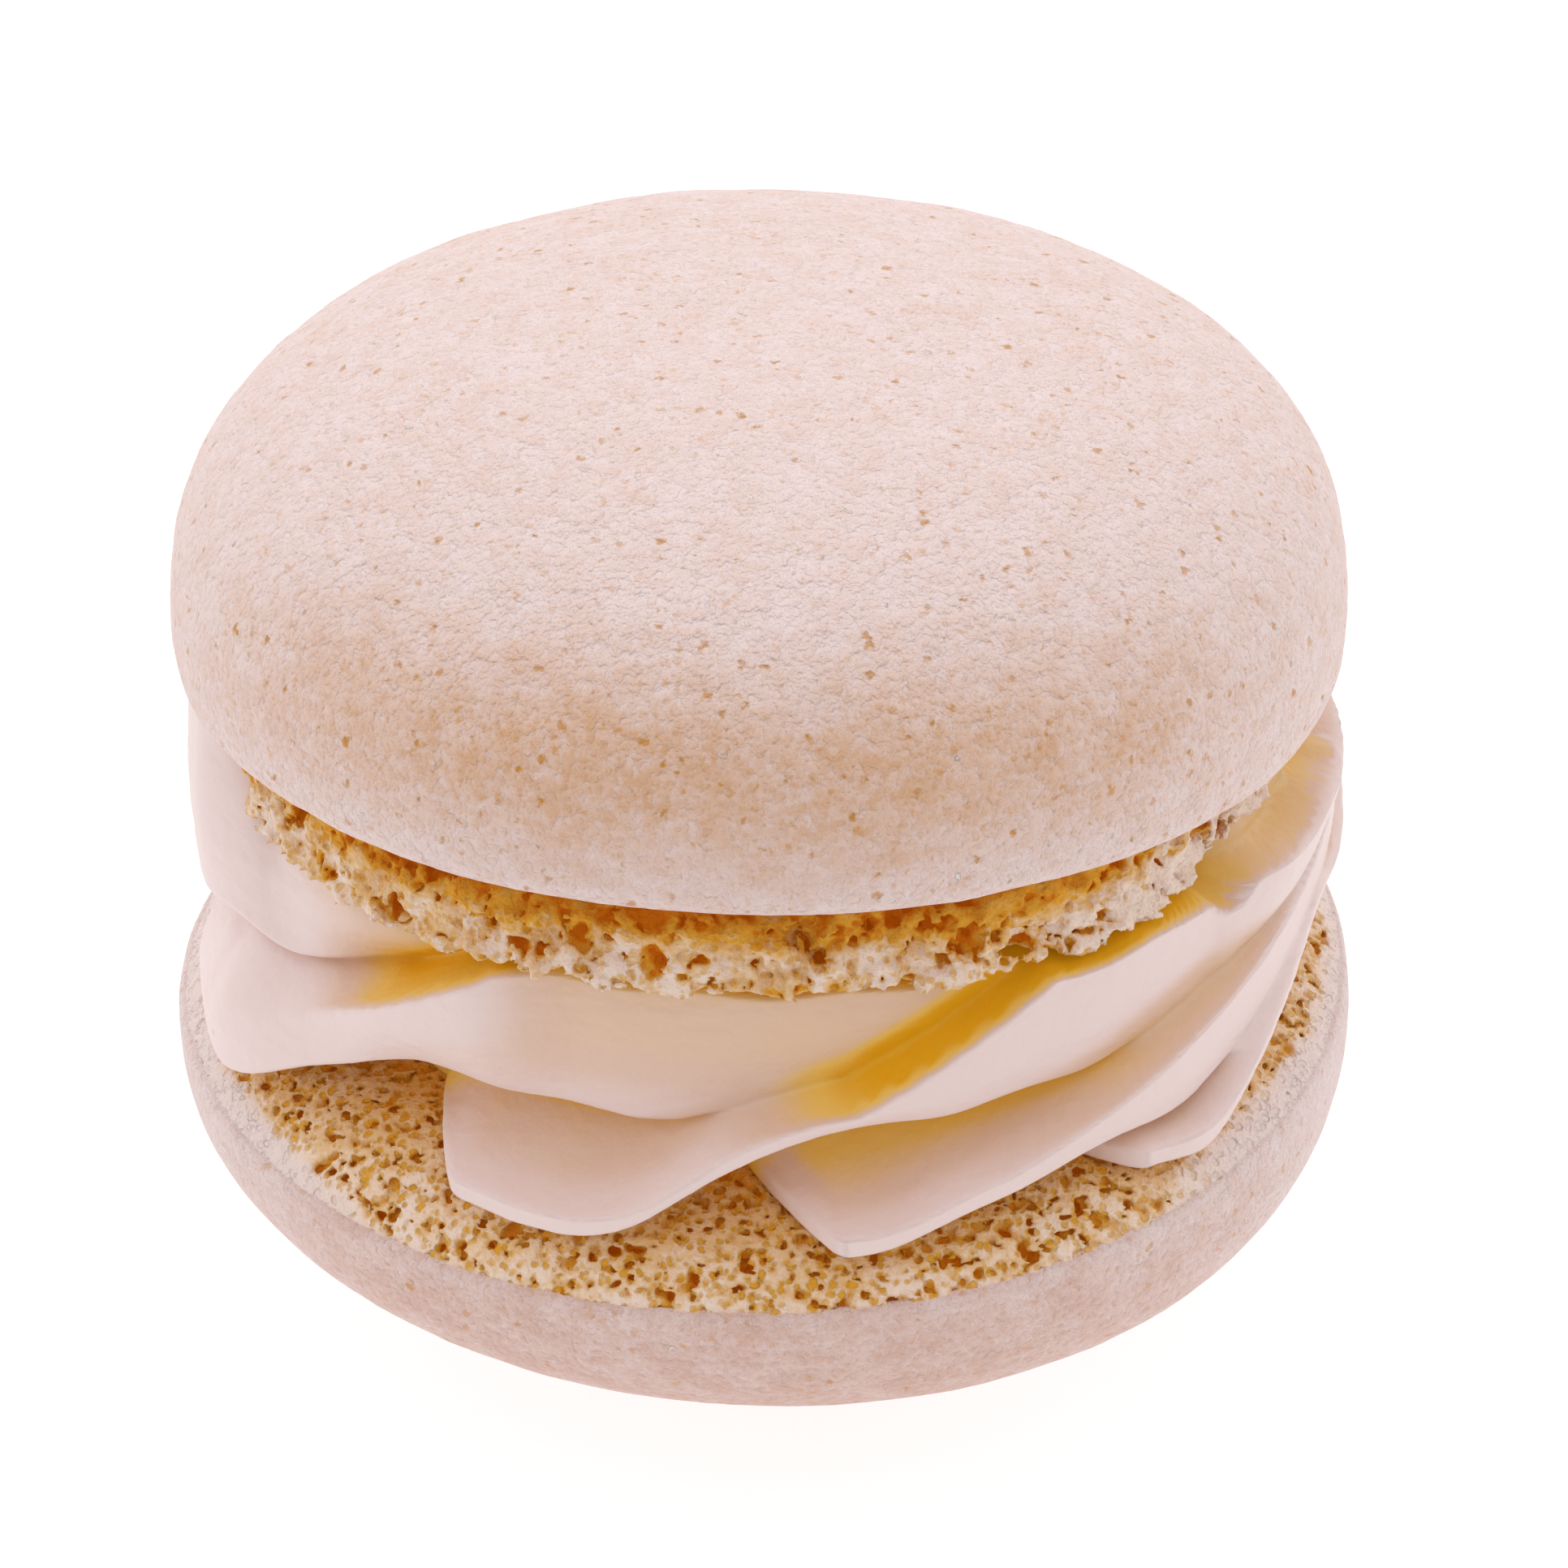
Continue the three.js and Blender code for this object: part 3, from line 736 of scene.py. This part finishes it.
def fold_shade_mask(angle, z, radius):
    """How deep each point lies in a fold, as painted shade: over a fin's crest, near the core or under the
    crust.
    """
    under_crust = 0.62 * smooth(z, 15.5, 20) * smooth(radius, 21.6, 19.6)
    deepest = np.maximum(0.7 * smooth(radius, 19.0, 17.0), under_crust)
    for fin, (tongue_gold, crest_gold) in zip(FINS, FOLD_SHADE_GOLD):
        _, _, _, _, crest_radius, crest_z, raised, ended = fin_lips(angle, **fin)
        inward = crest_radius - radius
        over_tongue = tongue_gold * smooth(inward, 0.7, 3.2)
        over_crest = crest_gold * (0.6 * smooth(inward, 0, 0.15) + 0.4 * smooth(inward, 0.15, 0.5))
        hollow = lerp(over_tongue, over_crest, raised ** 1.6)
        fading = 1 - smooth(z - crest_z, lerp(1.6, 0.9, raised), 3.0)
        deepest = np.maximum(deepest, np.where(ended | (z < crest_z), 0, hollow * fading))
    turn = (angle + 180) % 360 - 180
    paler = 0.55 * to_side(angle, 42, 58, 110) * smooth(z, 18.4, 19.6)
    paler = paler + 0.55 * smooth(turn, -42, -64) * smooth(turn, -150, -110)
    return deepest * (1 - paler)


levels = np.linspace(0, 1, CREAM_ROWS)[:, None]
turned = np.arange(CREAM_COLUMNS)[None, :] * 360 / CREAM_COLUMNS + CREAM_TWIST * levels
radii = cream_radius(turned, lerp(TONGUE_Z, cream_ceiling(turned, CREAM_CORE_RADIUS), levels))
floor_z = lerp(CREAM_FLOOR_Z, TONGUE_Z, smooth(radii, 17, 22.5))
heights = lerp(floor_z, cream_ceiling(turned, radii), levels)
rows = [(0, share) for share in (0.3, 0.6, 0.8, 0.92)]
rows += [(row, 1) for row in range(CREAM_ROWS)]
radii = np.array([radii[row] * share for row, share in rows])
heights, turned = (np.array([grid[row] for row, _ in rows]) for grid in (heights, turned))
for share in (0.97, 0.94, 0.9, 0.8, 0.5):
    radii = np.vstack([radii, radii[CREAM_ROWS + 3] * share])
    turned = np.vstack([turned, turned[-1]])
    heights = np.vstack([heights, cream_ceiling(turned[-1], radii[-1])])
cream = turned_piece("cream", radii, heights, np.radians(turned))
# painted shade of the folds, stored on each point for the material
fold_shade_values = np.append(fold_shade_mask(turned, heights, radii).ravel(), (1, 1))
cream.data.attributes.new("fold", "FLOAT", "POINT").data.foreach_set("value", fold_shade_values)


CREAM_PALE = colour(240, 220, 217)
# the tan, warm and gold colours are the painted shade in the folds
CREAM_SHADE_TAN = colour(231, 200, 181)
CREAM_SHADE_WARM = colour(236, 196, 106)
CREAM_SHADE_GOLD = colour(226, 164, 22)
CREAM_SPECK = colour(214, 172, 130)
# colour of the painted glow in the deepest folds
CREAM_PAINTED_GLOW = colour(240, 200, 20)


def cream_paint():
    """Satin buttercream, pale pink on its lips and faces, with painted shade, tan then golden, in its folds
    and where it is closed in, and a painted golden glow in the deepest.
    """
    paint, tree, shader, place = new_paint("buttercream", 0.45, 0.3)
    shelter = attribute(tree, "shelter")
    # painted shade: the fold mask and the share closed in by the macaron, less on the left
    shade = attribute(tree, "fold") * 0.8 + shelter * 0.39 + place.noise(3.0, 0.03, 2, 1.0)
    shade = shade + shelter.ease(0.5, 0.85) * 0.15 - place.part(0).ease(-12, -19) * 0.16
    pale = mixed(tree, shade.ease(0.03, 0.42), CREAM_PALE, CREAM_SHADE_TAN)
    warm = mixed(tree, shade.ease(0.4, 0.85), pale, CREAM_SHADE_WARM)
    skin = mixed(tree, shade.ease(0.8, 1.15), warm, CREAM_SHADE_GOLD)
    specks = place.bubbles(3.4, 0.04, 0.2, 0.3, 4.0).ease(0.06, -0.06)
    tree.links.new(mixed(tree, specks * 0.35, skin, CREAM_SPECK), shader.inputs["Base Color"])
    # painted golden glow where the painted shade is deepest
    tree.links.new((shade.ease(0.4, 1.1) * 0.08).socket, shader.inputs["Emission Strength"])
    shader.inputs["Emission Color"].default_value = CREAM_PAINTED_GLOW
    bumped(tree, shader, place.noise(0.6, 1, 3, 2.0) - specks * 1.5, 0.03)
    return paint


grown(cream, WRINKLED, swell=0.08, wrinkle=0.04, grain=0.008, seed=8.0, material=cream_paint())
sheltered(cream, 0.15, "bottom_shell", "top_shell")
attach(cream, "root")
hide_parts("cream_filling")

# ---------------------------------------------------------------------------------------------
# Upper crust: the dry skin of the upper meringue shell, a full dome with a rolled edge below.
# It is made level like the lower one, then leaned back and to the side as it was set on the cream.
# ---------------------------------------------------------------------------------------------
UPPER_RADIUS = 22.5
UPPER_WIDEST_Z = 26.6
UPPER_TOP_Z = 38.6
UPPER_EDGE_RADIUS = 21.8
UPPER_EDGE_Z = 25.4
UPPER_FULLNESS = 2.7
about = Matrix.Translation((0, 0, UPPER_WIDEST_Z * MM))
LEANED = about @ Matrix.Rotation(-LEAN_BACK, 4, "X") @ Matrix.Rotation(LEAN_SIDE, 4, "Y") @ about.inverted()

upper_round = 1 + 0.009 * np.cos(2 * angles)
upper_edge = UPPER_EDGE_Z + 0.22 * np.cos(2 * angles)
fullness = UPPER_FULLNESS + 0.1 * np.sin(angles) - 0.14 * np.cos(angles)
inside = [((UPPER_EDGE_RADIUS - inward) * upper_round, upper_edge + 1.1) for inward in (18.0, 10.0, 4.0)]
shown = [((UPPER_EDGE_RADIUS - inward) * upper_round, upper_edge + rise)
         for inward, rise in ((1.6, 0.8), (0.8, 0.15), (0.3, -0.02))]
for share in np.linspace(0, 1, 14)[:-1]:
    bend = share * math.pi / 2
    radius = lerp(UPPER_EDGE_RADIUS, UPPER_RADIUS, math.sin(bend))
    shown.append((radius * upper_round, lerp(upper_edge, UPPER_WIDEST_Z, 1 - math.cos(bend))))
for share in np.linspace(0, 0.997, 180):
    shown.append(dome(share, UPPER_RADIUS * upper_round, UPPER_WIDEST_Z, UPPER_TOP_Z, fullness))
upper_crust = turned_piece("upper_crust", *even_rows(shown, CRUST_FACET, before=inside), angles)
UPPER_PALE = colour(245, 226, 224)
# tan of the mottling and of the band of painted shade across the front, and that band's heights
UPPER_TAN = colour(228, 184, 150)
UPPER_BAND = (25.4, 30.4, 31.0, 35.4)
upper_axis = LEANED.to_3x3() @ Vector((0, 0, 1))
upper_crust_paint = crust_paint("upper_skin", UPPER_PALE, UPPER_TAN, UPPER_BAND, upper_axis, dotted=1.0,
                                seed=1.0)
grown(upper_crust, WRINKLED, swell=0.12, wrinkle=0.045, grain=0.02, seed=1.0, material=upper_crust_paint)
upper_crust.data.transform(LEANED)
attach(upper_crust, "root")
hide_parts("top_shell")

# ---------------------------------------------------------------------------------------------
# Upper foot: the ragged crumb that swelled out under the upper crust as it baked.
# It is grown as a volume: a torn wall with a cleft under the crust, hollowed by bubbles.
# ---------------------------------------------------------------------------------------------
FOOT_RADIUS = 20.7
FOOT_FACE_Z = 21.3
FOOT_INNER_RADIUS = 16.5
FOOT_BUBBLES = ((0.6, 0.14, 0.28, 0.75, 1.5), (1.0, 0.2, 0.42, 0.4, 2.5), (1.8, 0.5, 0.85, 0.35, 3.5))
FOOT_TORN = 0.3
FOOT_THINS_RIGHT = 1.3
FOOT_TOP_Z = 26.1


def foot_tree(part):
    """The foot as part of a ring of open crumb under the crust, before it leans."""
    tree, given = new_tree("ragged_foot_" + part, {"Crag": 0.6, "Cleft": 1.1})
    place = place_in_mm(tree)
    out = place.off_axis()
    height = place.part(2)
    crags = (place.noise(2.4, 1, 1, 1.0) + place.noise(1.0, 1.0, 2, 2.0)) * given["Crag"]
    crags = crags + place.noise(0.4, 0.22, 1, 7.0)
    cleft = height.ease(23.8, 25.1) * place.noise(2.0, 0.5, 1, 5.0).ease(-0.25, 0.1) * given["Cleft"]
    flare = height.ease(22.2, 21.4) * 0.3
    wall = FOOT_RADIUS - 0.3 + crags + flare - cleft - out
    thin = place.part(0).ease(12.5, 19.5) * FOOT_THINS_RIGHT
    floor = height - FOOT_FACE_Z - place.noise(1.7, 0.5, 1, 3.0) - place.noise(0.6, 0.3, 2, 4.0) - thin
    body = wall.least(floor).least(FOOT_TOP_Z - height).least(out - FOOT_INNER_RADIUS)
    holes = hollowed(place, FOOT_BUBBLES, FOOT_TORN).most(wall.least(floor) - 1.8)
    # painted shade under the crust's overhang, less to the right, stored with the depth into the wall
    under_crust_shade = height.ease(22.4, 24.4) * (0.42 + place.noise(1.0, 0.3, 1, 6.0))
    under_crust_shade = under_crust_shade - place.part(0).ease(9, 18) * 0.4
    reach = FOOT_RADIUS + 1.2
    mesh = meshed_part(tree, body.least(holes), part, reach, FOOT_FACE_Z - 0.8, FOOT_TOP_Z + 0.2)
    return finished(tree, stored(tree, mesh, "depth", wall.least(floor) + under_crust_shade), given["Material"])


foot_paint = crumb_paint("torn_crumb", depth_shade=2.2, shelter_shade=0.6, pore_warmth=0.6,
                         patches=0.5, start=0.03, seed=9.0)
for part in CRUMB_PARTS:
    upper_foot = mesh_piece("upper_foot_" + part, [(0, 0, FOOT_FACE_Z)], [])
    grown(upper_foot, foot_tree(part), crag=0.6, cleft=1.1, material=foot_paint)
    upper_foot.data.transform(LEANED)
    sheltered(upper_foot, SHELTER_LIFT, "cream_filling", "bottom_shell")
    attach(upper_foot, "root")
    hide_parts("top_shell")

# ---------------------------------------------------------------------------------------------
# The studio: a white table lit from within, under a white tent that glows most at the back.
# The tent and the table's glow fall off to the front, so that what faces the camera turns tan.
# ---------------------------------------------------------------------------------------------
TABLE_REACH = 3000
TABLE_GLOW = 0.66
TENT_STRENGTH = 1.0
TENT_BACK = (1.0, 0.985, 0.98, 1)
TENT_FRONT = (0.34, 0.26, 0.22, 1)
TENT_RISES = (0, 0.75, 0.66)
GLOW_FADES_OVER = (-105, -36)
LAMP_PLACE = Vector((-60, 160, 330))
LAMP_SIZE = 260
LAMP_WATTS = 0.12
LAMP_COLOUR = (0.97, 0.975, 1.0)

bpy.context.scene.view_settings.view_transform = "Standard"

tent = bpy.data.worlds.new("tent")
tent.use_nodes = True
toward = Field(tent.node_tree, put(tent.node_tree, "ShaderNodeTexCoord").outputs["Generated"])
rise = toward.vector("DOT_PRODUCT", TENT_RISES, "Value")
glow = mixed(tent.node_tree, rise.ease(-0.75, 0.12), TENT_FRONT, TENT_BACK)
background = tent.node_tree.nodes["Background"]
tent.node_tree.links.new(glow, background.inputs["Color"])
background.inputs["Strength"].default_value = TENT_STRENGTH
bpy.context.scene.world = tent

lamp = bpy.data.lights.new("lamp_top", "AREA")
lamp.size = LAMP_SIZE * MM
lamp.energy = LAMP_WATTS
lamp.color = LAMP_COLOUR
lamp_holder = bpy.data.objects.new("lamp_top", lamp)
aim = (Vector((0, 0, 20)) - LAMP_PLACE).to_track_quat("-Z", "Y").to_matrix().to_4x4()
lamp_holder.matrix_world = Matrix.Translation(LAMP_PLACE * MM) @ aim
bpy.context.scene.collection.objects.link(lamp_holder)

corners = [(-1, -1), (1, -1), (1, 1), (-1, 1)]
table = mesh_piece("table", [(x * TABLE_REACH, y * TABLE_REACH, 0) for x, y in corners], [(0, 1, 2, 3)])
table_paint, tree, shader, place = new_paint("table_paint", 0.9, 0.0)
shader.inputs["Base Color"].default_value = (0.5, 0.5, 0.5, 1)
shader.inputs["Emission Color"].default_value = (1, 1, 1, 1)
glow = (place.part(1).ease(*GLOW_FADES_OVER) * 0.8 + 0.2) * TABLE_GLOW
tree.links.new(glow.socket, shader.inputs["Emission Strength"])
table.data.materials.append(table_paint)
